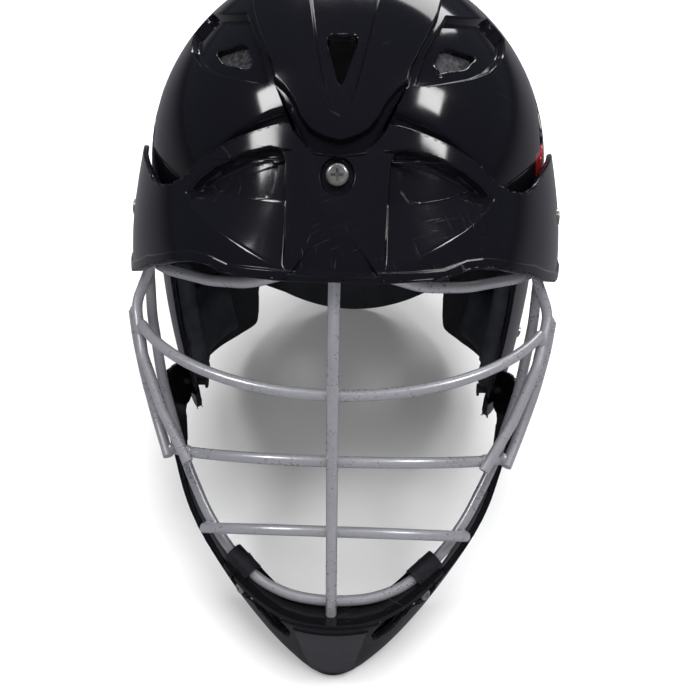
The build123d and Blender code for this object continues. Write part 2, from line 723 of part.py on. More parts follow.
with BuildPart() as housing_screws:
    for side in (1, -1):
        spot = housing_screw_spot(side)
        add(rod(spot, head.y_dir, housing_screw_radius, rack_back + 3, housing_head_front))
        add(rod(spot, head.y_dir, 2 * housing_screw_radius, housing_head_front, knob_front - 0.5))
save(housing_screws, "housing_screws")

# Pads
# Foam cushions lie against the shell's inner face, each cut from one layer to its own outline.
pad_layer_outer = shell_form(-shell_wall - pad_gap)
pad_layer_inner = shell_form(-shell_wall - pad_gap - pad_depth)
pad_outlines = {
    "brow_pad": (front_view, [(-60, 14), (60, 14), (58, 27), (0, 27.5), (-58, 27)], 30, reach),
    "crown_pad": (head, [(-24, -50), (24, -50), (27, 0), (24, 52), (-24, 52), (-27, 0)], 60, reach),
    "left_crown_pad": (head, [(34, -10), (60, -10), (65, 12), (58, 44), (31, 52)], 55, reach),
    "rear_pad": (front_view, [(-46, -24), (46, -24), (42, 50), (-42, 50)], -reach, -40),
    "left_side_pad": (side_view, [(-29, -12), (46, -14), (50, 20), (44, 46), (-24, 46), (-29, 24)],
                      40, reach),
    "left_jaw_pad": (side_view, [(-55, -22), (-24, -22), (-22, -60), (28, -60), (58, -62), (58, -100),
                                 (-34, -102), (-41, -95), (-43.5, -84), (-55, -80)], 40, reach),
}
for name, (view, outline, start, end) in pad_outlines.items():
    with BuildPart() as pad:
        add(prism(view, outline, start, end))
        add(pad_layer_outer, mode=Mode.INTERSECT)
        add(pad_layer_inner, mode=Mode.SUBTRACT)
        for spot, normal in stud_lines:
            add(rod(spot, normal, stud_back_radius + 0.5, -shell_wall - 2.6, 0), mode=Mode.SUBTRACT)
    save(pad, name)
    if name.startswith("left"):
        with BuildPart() as twin:
            mirror(pad.part, about=Plane.YZ)
        save(twin, name.replace("left", "right"))
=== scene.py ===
# %% [markdown]
# # A lacrosse helmet
# The real helmet is a moulded black shell with a bolted visor, a cage of welded wire, a moulded
# chin guard and foam pads. Each is a piece of its own here, and each rides on a body of the CAD frame.

# %% The frame
import json
import math

import bmesh
import bpy
from mathutils import Matrix, Vector


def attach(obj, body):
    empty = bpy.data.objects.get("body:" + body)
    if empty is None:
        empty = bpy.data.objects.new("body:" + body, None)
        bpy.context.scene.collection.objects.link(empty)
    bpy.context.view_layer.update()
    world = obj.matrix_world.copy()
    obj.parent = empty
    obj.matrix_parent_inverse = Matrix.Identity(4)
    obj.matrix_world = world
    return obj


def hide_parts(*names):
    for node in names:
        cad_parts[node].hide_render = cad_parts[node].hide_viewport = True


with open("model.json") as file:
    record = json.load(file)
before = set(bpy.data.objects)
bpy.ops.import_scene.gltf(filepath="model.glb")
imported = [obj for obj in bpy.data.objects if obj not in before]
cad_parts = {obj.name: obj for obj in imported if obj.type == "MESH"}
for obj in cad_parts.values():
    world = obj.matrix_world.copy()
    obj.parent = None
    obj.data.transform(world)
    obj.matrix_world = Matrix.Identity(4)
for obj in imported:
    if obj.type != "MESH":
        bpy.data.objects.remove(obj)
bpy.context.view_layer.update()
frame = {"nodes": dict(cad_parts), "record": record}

# %% [markdown]
# The pieces are drawn level, as the helmet is worn, in millimetres: x to the wearer's left, y to the
# back, z up, with zero at the middle of the brim. On the table the helmet leans back onto its chin
# guard and nape, so one matrix carries every piece from the level drawing to its place in the frame.

# %% From the level drawing to the table
LEAN = math.radians(26.0)
STAND = Vector((0, 0.04033, 0.1379))
MILLIMETRE = 0.001
to_row = Matrix.Translation(STAND) @ Matrix.Rotation(-LEAN, 4, "X") @ Matrix.Scale(MILLIMETRE, 4)


def place(bm, name, materials, smooth=True, sharp_angle=38):
    """Turns a level drawing into an object of the frame, rounded in shading but for its sharp edges."""
    bmesh.ops.transform(bm, matrix=to_row, verts=bm.verts)
    for vert in bm.verts:
        vert.co.z = max(vert.co.z, 0.0)
    bmesh.ops.recalc_face_normals(bm, faces=bm.faces)
    if bm.calc_volume(signed=True) < 0:
        bmesh.ops.reverse_faces(bm, faces=bm.faces)
    for face in bm.faces:
        face.smooth = smooth
    for edge in bm.edges:
        if len(edge.link_faces) == 2 and edge.calc_face_angle(0) > math.radians(sharp_angle):
            edge.smooth = False
    loose = sum(1 for edge in bm.edges if len(edge.link_faces) != 2)
    lift = bm.verts.layers.float_vector.get("lift")
    turned = to_row.to_3x3()
    normals = [(turned @ vert[lift]).normalized() for vert in bm.verts] if lift else []
    mesh = bpy.data.meshes.new(name)
    bm.to_mesh(mesh)
    bm.free()
    if normals:
        mesh.normals_split_custom_set_from_vertices(normals)
    piece = bpy.data.objects.new(name, mesh)
    bpy.context.scene.collection.objects.link(piece)
    for material in materials:
        mesh.materials.append(material)
    print(name, "faces", len(mesh.polygons), "open edges", loose)
    return piece


# %% [markdown]
# The shell, the visor and the chin guard are moulded in steel tools whose cavities are smooth
# ellipse-like forms. Each form is a table of half widths and half lengths against height, read
# smoothly in between, and it agrees with the solids of the CAD frame.

# %% The moulded forms
SHELL_ROWS = [(-118, 89, 101), (-80, 97, 110), (-40, 102, 117), (20, 104.5, 121)]
SHELL_MIDDLE = 3.0
CROWN_BASE = 20.0
CROWN_HEIGHT = 104.0
SHELL_WALL = 3.0
VISOR_ROWS = [(-45, 114.5, 161), (-20, 114.5, 154), (0, 113, 148), (25, 108.5, 134), (50, 102, 119.5),
              (75, 90, 103.5)]
GUARD_ROWS = [(-220, 24, 52), (-205, 39, 60), (-190, 50, 67), (-170, 62, 75), (-150, 73.5, 77), (-135, 80, 77),
              (-112, 86, 76), (-90, 94, 73), (-70, 96, 70)]
GUARD_MIDDLE = -75.0


def read_rows(rows, height):
    """The half width and half length at a height, on a smooth curve through the rows."""
    height = min(max(height, rows[0][0]), rows[-1][0])
    slot = max(i for i in range(len(rows) - 1) if rows[i][0] <= height)
    low, high = rows[slot], rows[slot + 1]
    span = high[0] - low[0]
    t = (height - low[0]) / span
    values = []
    for k in (1, 2):
        slope_low = (high[k] - low[k]) / span
        slope_high = slope_low
        if slot > 0:
            slope_low = (high[k] - rows[slot - 1][k]) / (high[0] - rows[slot - 1][0])
        if slot + 2 < len(rows):
            slope_high = (rows[slot + 2][k] - low[k]) / (rows[slot + 2][0] - low[0])
        elif rows is SHELL_ROWS:
            slope_high = 0.0
        values.append((2 * t ** 3 - 3 * t ** 2 + 1) * low[k] + (t ** 3 - 2 * t ** 2 + t) * span * slope_low
                      + (3 * t ** 2 - 2 * t ** 3) * high[k] + (t ** 3 - t ** 2) * span * slope_high)
    return values


def shell_level(p):
    """1 on the shell's form, less inside, more outside."""
    width, length = read_rows(SHELL_ROWS, p.z)
    rise = max(0.0, (p.z - CROWN_BASE) / CROWN_HEIGHT)
    return (p.x / width) ** 2 + ((p.y - SHELL_MIDDLE) / length) ** 2 + rise ** 2


def visor_level(p):
    width, length = read_rows(VISOR_ROWS, p.z)
    return (p.x / width) ** 2 + (p.y / length) ** 2


def guard_level(p):
    width, length = read_rows(GUARD_ROWS, p.z)
    return (p.x / width) ** 2 + ((p.y - GUARD_MIDDLE) / length) ** 2


def outward(level, p):
    """The form's outward direction at a point."""
    tiny = 0.5
    gradient = [level(p + Vector(step)) - level(p - Vector(step)) for step in
                ((tiny, 0, 0), (0, tiny, 0), (0, 0, tiny))]
    return Vector(gradient).normalized()


def shell_point(turn, climb):
    """A point on the shell: turn goes once round from the back, climb from the nape (0) to the crown (1)."""
    angle = 2 * math.pi * turn + math.pi / 2
    side_share = 0.46
    if climb < side_share:
        height = SHELL_ROWS[0][0] + (CROWN_BASE - SHELL_ROWS[0][0]) * climb / side_share
        width, length = read_rows(SHELL_ROWS, height)
        return Vector((width * math.cos(angle), SHELL_MIDDLE + length * math.sin(angle), height))
    tilt = 0.5 * math.pi * (climb - side_share) / (1 - side_share)
    width, length = SHELL_ROWS[-1][1] * math.cos(tilt), SHELL_ROWS[-1][2] * math.cos(tilt)
    return Vector((width * math.cos(angle), SHELL_MIDDLE + length * math.sin(angle),
                   CROWN_BASE + CROWN_HEIGHT * math.sin(tilt)))


def ring_point(rows, middle, low, high, first, last):
    """A function for a part of a ring-shaped form, between two heights and two angles in degrees."""
    def point(turn, climb):
        angle = math.radians(first + (last - first) * turn)
        height = low + (high - low) * climb
        width, length = read_rows(rows, height)
        return Vector((width * math.cos(angle), middle + length * math.sin(angle), height))
    return point


def skin(point, columns, rows):
    """A grid of faces laid over a form."""
    bm = bmesh.new()
    bmesh.ops.create_grid(bm, x_segments=columns, y_segments=rows, size=1.0)
    for vert in bm.verts:
        vert.co = point((vert.co.x + 1) / 2, (vert.co.y + 1) / 2)
    bmesh.ops.remove_doubles(bm, verts=bm.verts, dist=0.02)
    return bm


# %% [markdown]
# Steps and openings in a moulding have crisp outlines. Each outline is a polygon seen from the
# front, the side or above. It is scored into the skin first, so that edges lie along it, and the
# skin is then raised, sunk or cut away inside it.

# %% Outlines and how they are scored
VIEWS = {"front": (0, 2), "side": (1, 2), "top": (0, 1)}


def mirrored(half):
    return list(half) + [(-x, z) for x, z in reversed(half) if x > 0]


def flipped(outline):
    return [(-x, z) for x, z in outline]


def edge_distance(a, b, outline):
    """Distance to a closed outline, negative inside it."""
    inside = False
    nearest = 1e9
    ax, bx = outline[-1]
    for cx, dx in outline:
        run_a, run_b = cx - ax, dx - bx
        t = ((a - ax) * run_a + (b - bx) * run_b) / (run_a * run_a + run_b * run_b)
        t = min(1.0, max(0.0, t))
        nearest = min(nearest, (a - ax - t * run_a) ** 2 + (b - bx - t * run_b) ** 2)
        if (bx > b) != (dx > b) and a < ax + (b - bx) * run_a / run_b:
            inside = not inside
        ax, bx = cx, dx
    return -math.sqrt(nearest) if inside else math.sqrt(nearest)


def area(outline):
    return sum(a[0] * b[1] - b[0] * a[1] for a, b in zip(outline, outline[1:] + outline[:1])) / 2


def shrunk(outline, amount):
    """The outline moved inward by an amount, each corner along its mitre."""
    sign = 1 if area(outline) > 0 else -1
    result = []
    for before, corner, after in zip(outline[-1:] + outline[:-1], outline, outline[1:] + outline[:1]):
        one = Vector((corner[0] - before[0], corner[1] - before[1])).normalized()
        two = Vector((after[0] - corner[0], after[1] - corner[1])).normalized()
        normal_one, normal_two = Vector((-one.y, one.x)) * sign, Vector((-two.y, two.x)) * sign
        mitre = normal_one + normal_two
        mitre = mitre / max(0.5, mitre.length_squared / 2)
        result.append((corner[0] + mitre.x * amount, corner[1] + mitre.y * amount))
    return result


def score(bm, outline, view, where, reach=3.5):
    """Cuts the skin's faces along an outline, only near each of its sides."""
    a, b = VIEWS[view]
    for start, end in zip(outline, outline[1:] + outline[:1]):
        low = [min(start[k], end[k]) - reach for k in (0, 1)]
        high = [max(start[k], end[k]) + reach for k in (0, 1)]
        faces = []
        for face in bm.faces:
            middle = face.calc_center_median()
            if low[0] < middle[a] < high[0] and low[1] < middle[b] < high[1] and where(middle):
                faces.append(face)
        if not faces:
            continue
        normal = Vector((0, 0, 0))
        normal[a], normal[b] = start[1] - end[1], end[0] - start[0]
        spot = Vector((0, 0, 0))
        spot[a], spot[b] = start
        edges = {edge for face in faces for edge in face.edges}
        verts = {vert for face in faces for vert in face.verts}
        bmesh.ops.bisect_plane(bm, geom=faces + list(edges) + list(verts), dist=0.001, plane_co=spot,
                               plane_no=normal.normalized())


def cut_away(bm, outline, view, where, keep_inside=False):
    """Scores an outline and deletes the skin inside it, or outside it."""
    a, b = VIEWS[view]
    score(bm, outline, view, where)
    doomed = []
    for face in bm.faces:
        middle = face.calc_center_median()
        if where(middle) and (edge_distance(middle[a], middle[b], outline) < 0) != keep_inside:
            doomed.append(face)
    bmesh.ops.delete(bm, geom=doomed, context="FACES")


def step_up(distance, width):
    """0 outside an outline, 1 well inside it: rolled in over a third of the width, straight, rolled out."""
    run = min(1.0, max(0.0, -distance / width))
    if run < 1 / 3:
        return 2.25 * run * run
    if run > 2 / 3:
        return 1 - 2.25 * (1 - run) ** 2
    return 1.5 * run - 0.25


def score_step(bm, outline, view, where, width):
    """Scores the four lines where a step's ramp starts, runs straight and ends."""
    for share in (0, 1 / 3, 2 / 3, 1):
        score(bm, shrunk(outline, width * share) if share else outline, view, where)


def weld_slivers(bm, size=0.3):
    """Scoring leaves needle-like faces. Their corners are merged along the rims, where they do harm."""
    rim = {vert for edge in bm.edges if len(edge.link_faces) == 1 for vert in edge.verts}
    near = rim | {edge.other_vert(vert) for vert in rim for edge in vert.link_edges}
    bmesh.ops.remove_doubles(bm, verts=list(near), dist=size)
    bmesh.ops.remove_doubles(bm, verts=bm.verts, dist=0.04)


def even_rims(bm, passes=8):
    """Takes the kinks out of the rims and rounds their corners: each vertex moves towards its neighbours' middle."""
    beside = {}
    for edge in bm.edges:
        if len(edge.link_faces) == 1:
            for vert in edge.verts:
                beside.setdefault(vert, []).append(edge.other_vert(vert))
    for _ in range(passes):
        spots = {vert: vert.co.lerp((pair[0].co + pair[1].co) / 2, 0.5)
                 for vert, pair in beside.items() if len(pair) == 2}
        for vert, spot in spots.items():
            vert.co = spot


def raised(level, rise, spot):
    """A point of the form moved out by its rise, and the direction that the raised surface faces there."""
    normal = outward(level, spot)
    across = normal.cross(Vector((0, 0, 1)))
    across = across.normalized() if across.length > 0.01 else Vector((1, 0, 0))
    along = normal.cross(across)
    tiny = 0.04
    slope = Vector((0, 0, 0))
    for tangent in (across, along):
        slope += tangent * (rise(spot + tangent * tiny) - rise(spot - tangent * tiny)) / (2 * tiny)
    return spot + normal * rise(spot), (normal - slope).normalized()


def thicken(bm, level, outer_rise, inner_depth, rim=0.7, inside_slot=None):
    """Gives the skin its wall: a second skin inside, a closed rim, and a rounded edge along the rim.

    Where the rim is rounded, the outer skin also keeps the exact direction that its surface faces, so
    that a polished step reflects cleanly however its faces are cut.
    """
    lift = bm.verts.layers.float_vector.new("lift") if rim else None
    outer = set(bm.faces)
    outer_verts = list(bm.verts)
    made = bmesh.ops.extrude_face_region(bm, geom=list(outer), use_keep_orig=True)["geom"]
    inner_verts = [item for item in made if isinstance(item, bmesh.types.BMVert)]
    inner_faces = {item for item in made if isinstance(item, bmesh.types.BMFace)}
    if inside_slot is not None:
        for face in inner_faces:
            face.material_index = inside_slot
    for vert in inner_verts:
        vert.co -= outward(level, vert.co) * inner_depth(vert.co)
    for vert in outer_verts:
        if rim:
            vert.co, vert[lift] = raised(level, outer_rise, vert.co.copy())
        else:
            vert.co += outward(level, vert.co) * outer_rise(vert.co)
    sides = [face for face in bm.faces if face not in outer and face not in inner_faces]
    rims = {edge for face in sides for edge in face.edges
            if any(other in outer or other in inner_faces for other in edge.link_faces)}
    if rim:
        bmesh.ops.bevel(bm, geom=list(rims), offset=rim, offset_type="OFFSET", segments=3, profile=0.5,
                        affect="EDGES", clamp_overlap=False, material=-1)
        kept = {vert for vert in outer_verts if vert.is_valid}
        for vert in bm.verts:
            if vert not in kept:
                vert[lift] = (0, 0, 0)


def front_half(p):
    return p.y < 0


def rear_half(p):
    return p.y > 20


def everywhere(p):
    return True


# %% [markdown]
# Materials are all procedural, in the object's own coordinates. The glossy black of a used helmet
# isn't one colour: it has fine scratches in every direction and dull rubbed areas.

# %% Material helpers
def new_material(name):
    material = bpy.data.materials.new(name)
    material.use_nodes = True
    nodes = material.node_tree.nodes
    return material, nodes, material.node_tree.links, nodes["Principled BSDF"]


def noise(nodes, links, place_from, scale, detail=3.0, stretch=(1, 1, 1), turn=(0, 0, 0)):
    """A noise texture in object coordinates, stretched and turned by a mapping."""
    mapping = nodes.new("ShaderNodeMapping")
    mapping.vector_type = "TEXTURE"
    mapping.inputs["Scale"].default_value = [1 / value for value in stretch]
    mapping.inputs["Rotation"].default_value = turn
    links.new(place_from, mapping.inputs["Vector"])
    texture = nodes.new("ShaderNodeTexNoise")
    texture.inputs["Scale"].default_value = scale
    texture.inputs["Detail"].default_value = detail
    links.new(mapping.outputs["Vector"], texture.inputs["Vector"])
    return texture.outputs["Fac"]


def ramp(nodes, links, value, low, high, low_value, high_value):
    """Carries a value from one range to another, and stops at its ends."""
    node = nodes.new("ShaderNodeMapRange")
    node.inputs["From Min"].default_value = low
    node.inputs["From Max"].default_value = high
    node.inputs["To Min"].default_value = low_value
    node.inputs["To Max"].default_value = high_value
    links.new(value, node.inputs["Value"])
    return node.outputs["Result"]


def combine(nodes, links, operation, one, two):
    node = nodes.new("ShaderNodeMath")
    node.operation = operation
    for socket, value in zip(node.inputs, (one, two)):
        if isinstance(value, (int, float)):
            socket.default_value = value
        else:
            links.new(value, socket)
    return node.outputs["Value"]


def tint(nodes, links, value, dark, light):
    """A colour between two, by a value from 0 to 1."""
    node = nodes.new("ShaderNodeMix")
    node.data_type = "RGBA"
    node.inputs["A"].default_value = (*dark, 1)
    node.inputs["B"].default_value = (*light, 1)
    links.new(value, node.inputs["Factor"])
    return node.outputs["Result"]


def mixed_colour(nodes, links, share, one, two):
    """A colour between two, each a link or a fixed colour."""
    node = nodes.new("ShaderNodeMix")
    node.data_type = "RGBA"
    for name, value in (("A", one), ("B", two)):
        if isinstance(value, tuple):
            node.inputs[name].default_value = value
        else:
            links.new(value, node.inputs[name])
    links.new(share, node.inputs["Factor"])
    return node.outputs["Result"]


def bump(nodes, links, height, strength, distance):
    node = nodes.new("ShaderNodeBump")
    node.inputs["Strength"].default_value = strength
    node.inputs["Distance"].default_value = distance
    links.new(height, node.inputs["Height"])
    return node.outputs["Normal"]


def glossy_plastic(name, dark, light, roughness=0.09):
    """Painted, polished plastic with scratches and rubbed areas."""
    material, nodes, links, surface = new_material(name)
    where = nodes.new("ShaderNodeTexCoord").outputs["Object"]
    scratches = None
    for turn, along in (((0.3, 0.2, 0.5), (1, 60, 3)), ((1.1, 0.7, 2.1), (70, 1, 4)), ((0.5, 2.2, 1.3), (3, 1, 80))):
        line = noise(nodes, links, where, 34, 0.0, along, turn)
        line = ramp(nodes, links, line, 0.79, 0.88, 0.0, 1.0)
        scratches = line if scratches is None else combine(nodes, links, "MAXIMUM", scratches, line)
    worn = ramp(nodes, links, noise(nodes, links, where, 17, 1.0), 0.50, 0.62, 0.0, 1.0)
    scratches = combine(nodes, links, "MULTIPLY", scratches, worn)
    patches = noise(nodes, links, where, 22, 4.0)
    rubbed = ramp(nodes, links, patches, 0.52, 0.72, 0.0, 1.0)
    fine = noise(nodes, links, where, 420, 3.0)
    dull = combine(nodes, links, "ADD", ramp(nodes, links, rubbed, 0, 1, roughness, roughness + 0.10),
                   combine(nodes, links, "MULTIPLY", scratches, 0.08))
    links.new(dull, surface.inputs["Roughness"])
    marks = combine(nodes, links, "MULTIPLY", scratches, ramp(nodes, links, fine, 0.4, 0.6, 0.3, 1.0))
    links.new(tint(nodes, links, marks, dark, light), surface.inputs["Base Color"])
    height = combine(nodes, links, "SUBTRACT", ramp(nodes, links, patches, 0.3, 0.7, 0.0, 0.15), scratches)
    links.new(bump(nodes, links, height, 0.06, 0.0002), surface.inputs["Normal"])
    return material


def speckled(name, dark, light, roughness, metallic=0.0, scale=700, strength=0.12, relief=0.0003, coat=0.0):
    """A surface with fine grain: paint, plated steel, moulded plastic or foam."""
    material, nodes, links, surface = new_material(name)
    where = nodes.new("ShaderNodeTexCoord").outputs["Object"]
    grain = noise(nodes, links, where, scale, 4.0)
    broad = noise(nodes, links, where, 45, 3.0)
    mixed = combine(nodes, links, "ADD", combine(nodes, links, "MULTIPLY", grain, 0.5),
                    combine(nodes, links, "MULTIPLY", broad, 0.5))
    links.new(tint(nodes, links, ramp(nodes, links, mixed, 0.38, 0.62, 0, 1), dark, light),
              surface.inputs["Base Color"])
    links.new(ramp(nodes, links, mixed, 0.35, 0.65, roughness - 0.05, roughness + 0.07),
              surface.inputs["Roughness"])
    surface.inputs["Metallic"].default_value = metallic
    surface.inputs["Coat Weight"].default_value = coat
    surface.inputs["Coat Roughness"].default_value = 0.12
    links.new(bump(nodes, links, grain, strength, relief), surface.inputs["Normal"])
    return material


def cloth(name, dark, light):
    """A brushed knitted cloth over foam."""
    material, nodes, links, surface = new_material(name)
    where = nodes.new("ShaderNodeTexCoord").outputs["Object"]
    across = noise(nodes, links, where, 900, 2.0, (1, 0.25, 1), (0, 0, 0.6))
    along = noise(nodes, links, where, 900, 2.0, (0.25, 1, 1), (0, 0, 0.6))
    weave = combine(nodes, links, "MULTIPLY", across, along)
    folds = noise(nodes, links, where, 40, 3.0)
    shade = combine(nodes, links, "ADD", combine(nodes, links, "MULTIPLY", weave, 0.8),
                    combine(nodes, links, "MULTIPLY", folds, 0.5))
    links.new(tint(nodes, links, ramp(nodes, links, shade, 0.25, 0.65, 0, 1), dark, light),
              surface.inputs["Base Color"])
    surface.inputs["Roughness"].default_value = 0.85
    surface.inputs["Sheen Weight"].default_value = 0.25
    links.new(bump(nodes, links, combine(nodes, links, "ADD", weave, folds), 0.5, 0.0008), surface.inputs["Normal"])
    return material


# %% The materials
black_gloss = glossy_plastic("black gloss plastic", (0.0035, 0.0035, 0.005), (0.035, 0.035, 0.040))
visor_gloss = glossy_plastic("visor gloss plastic", (0.0035, 0.0035, 0.005), (0.035, 0.035, 0.040), 0.10)
guard_gloss = glossy_plastic("guard gloss plastic", (0.004, 0.004, 0.005), (0.07, 0.07, 0.075), 0.11)
guard_panel = glossy_plastic("guard panel", (0.020, 0.020, 0.023), (0.09, 0.09, 0.10), 0.20)
red_patch = glossy_plastic("red patch", (0.18, 0.006, 0.008), (0.28, 0.03, 0.03), 0.16)
inner_plastic = speckled("moulded inner face", (0.010, 0.011, 0.014), (0.022, 0.023, 0.028), 0.55)
wire_paint = speckled("silver wire paint", (0.40, 0.40, 0.43), (0.46, 0.46, 0.49), 0.30, 0.6, 500, 0.04, 0.00002, 0.6)
plated_steel = speckled("plated steel", (0.42, 0.41, 0.39), (0.62, 0.61, 0.58), 0.30, 0.9, 300)
soft_black = speckled("black clip plastic", (0.006, 0.006, 0.008), (0.016, 0.016, 0.019), 0.36)
band_black = speckled("band plastic", (0.016, 0.016, 0.018), (0.035, 0.035, 0.038), 0.5)
pad_cloth = cloth("dark pad cloth", (0.010, 0.012, 0.017), (0.045, 0.050, 0.066))
liner = speckled("matte liner", (0.014, 0.016, 0.022), (0.034, 0.038, 0.050), 0.62, 0.0, 160, 0.05, 0.0004)
open_foam = speckled("open foam", (0.010, 0.010, 0.012), (0.055, 0.055, 0.060), 0.95, 0.0, 480, 1.0, 0.002)
print("materials", len(bpy.data.materials))

# %% [markdown]
# ## The shell
# One moulding. A raised spine runs over the crown and comes to a point above the brow. A channel is
# sunk along it and ends in a V, with a V-shaped vent. A sunk pocket with a vent lies on each side,
# and a rebate on each side makes room behind the visor's upper edge.

# %% The shell's outlines
spine_half = [(0, 48.5), (6, 49.5), (13, 53), (17, 58), (20, 63.5), (24, 68), (28.5, 71), (30, 77), (34, 84),
              (41, 96), (45, 108), (45, 135)]
spine = mirrored(spine_half)
spine_rear = [(-45, -40), (-45, 20), (-41, 60), (-34, 84), (-20, 101), (0, 107), (20, 101), (34, 84), (41, 60),
              (45, 20), (45, -40)]
channel = mirrored([(0, 58.5), (3.5, 60.5), (6.5, 67), (10.5, 82.5), (15.5, 104), (17, 135)])
channel_rear = [(-17, -40), (-16, 20), (-12, 60), (0, 72), (12, 60), (16, 20), (17, -40)]
vent = mirrored([(0, 68.5), (7.5, 89.5)])
pocket = [(31, 71.5), (37, 71), (48, 72), (58, 73), (66, 75), (74, 80), (79, 90), (70, 97), (45, 99), (35, 84)]
side_vent = [(42, 78), (57, 79), (63, 83.5), (46, 89), (41, 80.5)]
face_opening = [(-150, 12), (-95, 12), (-84, 4), (-64, -14), (-60, -25), (-58.5, -60), (-57, -94), (-50, -106),
                (-30, -108), (-22, -104), (10, -107), (60, -106), (86, -102), (86, -150), (-150, -150)]
ear_hole = [(-18, -42), (-8, -52), (10, -54), (20, -44), (16, -30), (2, -24), (-12, -28)]
side_slot = [(-16, 60), (-22, 58), (-36, 44), (-42, 33), (-36, 31), (-27, 42)]
nape_arch = mirrored([(0, -101), (8, -100.6), (16, -99.4), (24, -97.4), (32, -94.4), (40, -90.4), (48, -85.4),
                      (54, -81), (59, -77.5), (64, -77), (64, -150), (0, -150)])
patch_outline = [(-17, 38), (-19, 15), (-52, 20), (-50, 36)]

rebate = [(20, 64.5), (30, 61.5), (39, 57), (47.5, 51.6), (57.5, 43), (67, 33.6), (75, 25), (64, 22), (54, 31),
          (44, 39), (34, 45), (20, 50)]

REBATE_DEPTH = 3.0
REBATE_RAMP = 5.0
SPINE_RISE = 4.5
SPINE_RAMP = 2.4
CHANNEL_DEPTH = 2.3
POCKET_DEPTH = 4.0


def spine_distance(p):
    return edge_distance(p.x, p.z, spine) if p.y < 0 else edge_distance(p.x, p.y, spine_rear)


def channel_distance(p):
    return edge_distance(p.x, p.z, channel) if p.y < 0 else edge_distance(p.x, p.y, channel_rear)


def pocket_distance(p):
    return edge_distance(abs(p.x), p.z, pocket) if p.y < -20 else 10.0


def rebate_distance(p):
    return edge_distance(abs(p.x), p.z, rebate) if p.y < -20 else 10.0


def shell_rise(p):
    """How far the outer skin stands off the plain form."""
    if p.z < 20:
        return 0.0
    return (-REBATE_DEPTH * step_up(rebate_distance(p), REBATE_RAMP)
            + SPINE_RISE * step_up(spine_distance(p), SPINE_RAMP)
            - CHANNEL_DEPTH * step_up(channel_distance(p), 1.5)
            - POCKET_DEPTH * step_up(pocket_distance(p), 2.0))


def shell_depth(p):
    """How deep the inner skin lies below the plain form."""
    if p.z < 20:
        return SHELL_WALL
    return (SHELL_WALL + POCKET_DEPTH * step_up(pocket_distance(p) - 3.0, 4.0)
            + REBATE_DEPTH * step_up(rebate_distance(p) - 2.0, 3.0))


# %% The shell's skin
bm = skin(shell_point, 300, 122)
for outline, view, where, width in ((spine, "front", front_half, SPINE_RAMP),
                                    (channel, "front", front_half, 1.5),
                                    (rebate, "front", front_half, REBATE_RAMP),
                                    (flipped(rebate), "front", front_half, REBATE_RAMP),
                                    (pocket, "front", front_half, 2.0),
                                    (flipped(pocket), "front", front_half, 2.0)):
    score_step(bm, outline, view, where, width)
for outline in (spine_rear, channel_rear):
    score_step(bm, outline, "top", lambda p: p.y > 0 and p.z > 40, 2.0)
score(bm, patch_outline, "side", lambda p: p.x > 0)
for outline in (vent, side_vent, flipped(side_vent)):
    cut_away(bm, outline, "front", front_half)
for outline in (side_slot, ear_hole, face_opening):
    cut_away(bm, outline, "side", everywhere)
cut_away(bm, nape_arch, "front", rear_half)
weld_slivers(bm)
even_rims(bm)
print("shell skin faces", len(bm.faces))

# %% [markdown]
# The skin gets a 3 mm wall with rounded rims. The patch on the wearer's left is left plain: the
# real one has marks that aren't copied.

# %% The shell's wall
for face in bm.faces:
    middle = face.calc_center_median()
    if middle.x > 0 and edge_distance(middle.y, middle.z, patch_outline) < 0:
        face.material_index = 1
thicken(bm, shell_level, shell_rise, shell_depth, inside_slot=2)
shell = place(bm, "shell_moulding", [black_gloss, red_patch, inner_plastic])
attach(shell, "helmet")
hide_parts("shell")

# %% [markdown]
# ## The visor
# A separate moulding over the brow, bolted through its middle and at both sides. Two eye-like
# pockets are sunk in it, a beak stands between them, and its lower edge is rolled.

# %% The visor's outlines
visor_top_half = [(0, 46.5), (7, 47.3), (14, 50), (18, 53.5), (19.6, 58.3), (29, 56), (38, 52.8), (48, 48.3),
                  (60, 40.5), (69, 31.5), (76.5, 27), (83, 25), (89, 26), (96, 30), (104, 33), (125, 33)]
brim_half = [(0, 0), (30, -1), (45, -1.5), (55, 0.5), (62, 0), (72, -3), (87, -10), (106, -25), (125, -26)]
brim = [(-x, z) for x, z in reversed(brim_half[1:])] + brim_half
visor_outline = [(-x, z) for x, z in reversed(visor_top_half[1:])] + visor_top_half + brim[::-1]
brow_arch = [(68, 25.5), (62, 32), (54, 38.5), (41, 45), (29, 48.5), (24, 48), (21.6, 44), (20.6, 30), (19.8, 12)]
ridge = [(19.5, 2.5), (31, 6), (44, 11), (54, 15), (63, 20)]
cheek = brow_arch + ridge
lens = [(61, 30), (54, 35.5), (41, 41.8), (30, 45), (26.5, 42), (27.5, 34), (31, 29.5), (37, 28.3), (49, 28.9)]
beak_facet = [(19, 1.5), (12, 11), (6.5, 16.5), (-6.5, 16.5), (-12, 11), (-19, 1.5)]
dish = mirrored([(0, 23.5), (6, 25.5), (11.5, 31), (15.5, 42), (19, 56), (20, 70)])
arm_back = [(-22, 45), (-22, 27), (-16, 18), (-14, 6), (-16, -8), (-24, -17), (-40, -23), (-40, -60), (60, -60),
            (60, 45)]

brim_zone = brim + [(170, -26), (170, 120), (-170, 120), (-170, -26)]

VISOR_WALL = 2.6
SCREW_PLACE = (0.0, 39.0)
RECESS_RADIUS = 6.6
RECESS_RAMP = 0.9
LENS_FOOT = 29.0
CHEEK_DEPTH = 5.4
RECESS_DEPTH = 2.3
LIP_WIDTH = 3.2
LIP_RISE = 1.0
DISH_DEPTH = 1.6
DISH_RAMP = 8.0


def brim_distance(p):
    """Distance above the visor's lower edge, seen from the front."""
    return -edge_distance(p.x, p.z, brim_zone)


